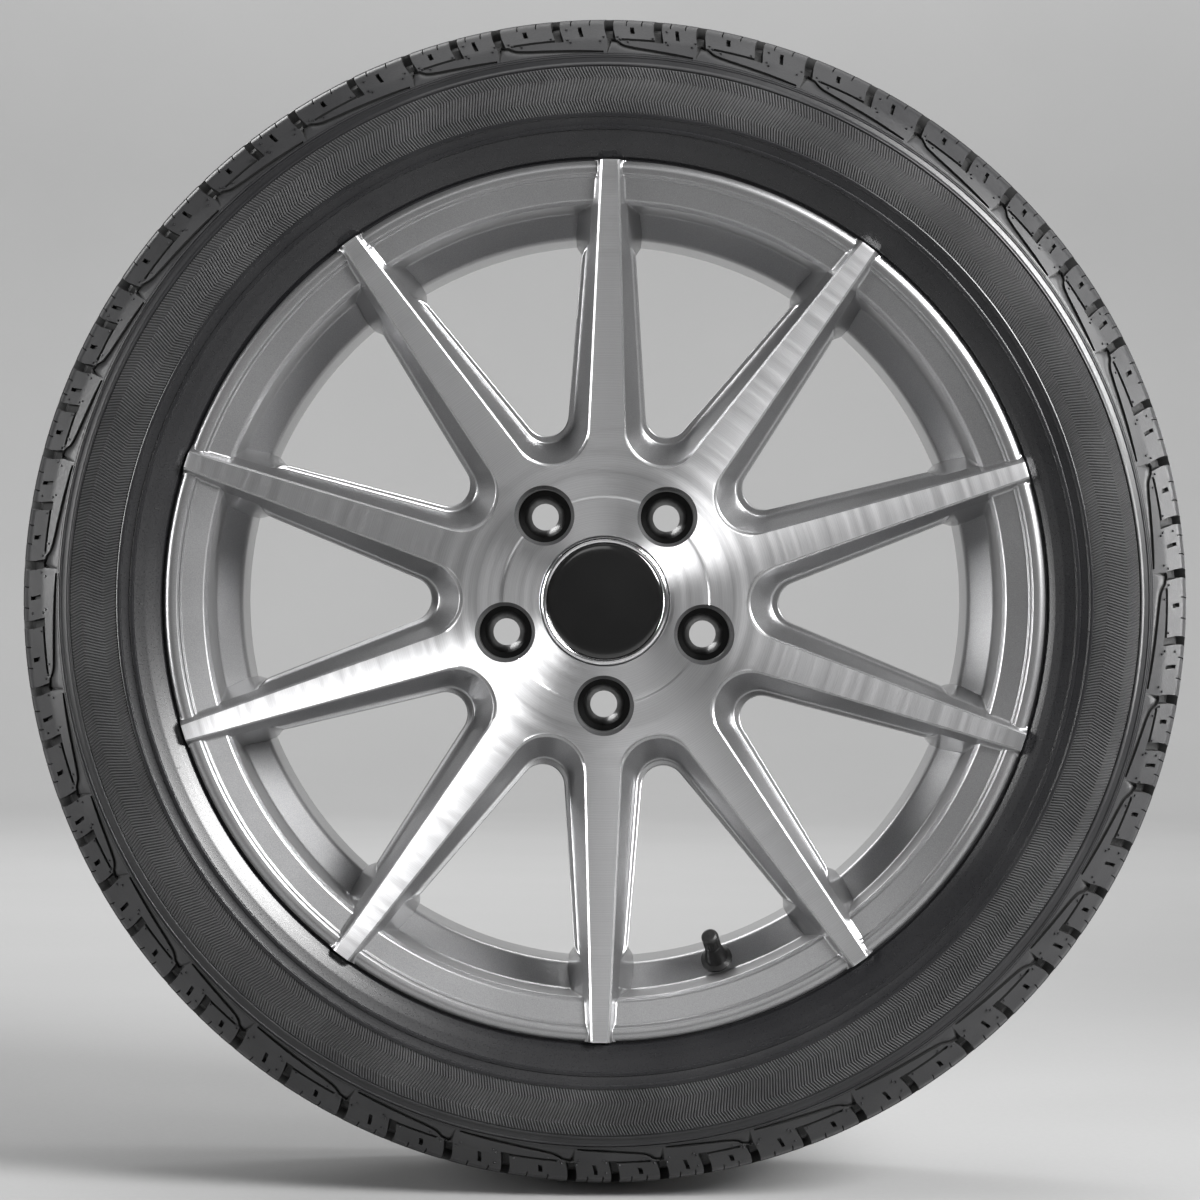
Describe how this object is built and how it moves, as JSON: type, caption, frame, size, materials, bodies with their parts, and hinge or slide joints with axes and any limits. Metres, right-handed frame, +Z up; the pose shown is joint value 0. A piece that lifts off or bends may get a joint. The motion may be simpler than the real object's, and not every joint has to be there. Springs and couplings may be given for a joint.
{
  "type": "car tyre on alloy wheel",
  "caption": "Low-profile road tyre fitted on a cast alloy wheel with slim machined spokes, a centre cap and a snap-in air valve.",
  "frame": {"origin": "middle of the tyre, on the wheel's axis", "axes": "+Y along the axis toward the car, -Y toward the viewer of the wheel's face, +Z up along one spoke"},
  "size_m": [0.7374, 0.255, 0.7374],
  "materials": {
    "tyre_rubber": "satin moulded rubber",
    "silver_alloy": "diamond-turned faces, silver metallic paint elsewhere",
    "black_plastic": "gloss black",
    "bright_trim": "polished",
    "valve_rubber": "matt",
    "brass": "turned",
    "spring_steel": "drawn wire"
  },
  "bodies": {
    "root": {"tyre": "tyre_rubber", "wheel": "silver_alloy", "cap_body": "black_plastic", "cap_trim_ring": "bright_trim", "cap_disc": "black_plastic", "cap_spring": "spring_steel", "valve_body": "valve_rubber", "valve_stem": "brass", "valve_core": "brass", "valve_cap": "black_plastic"}
  },
  "joints": []
}
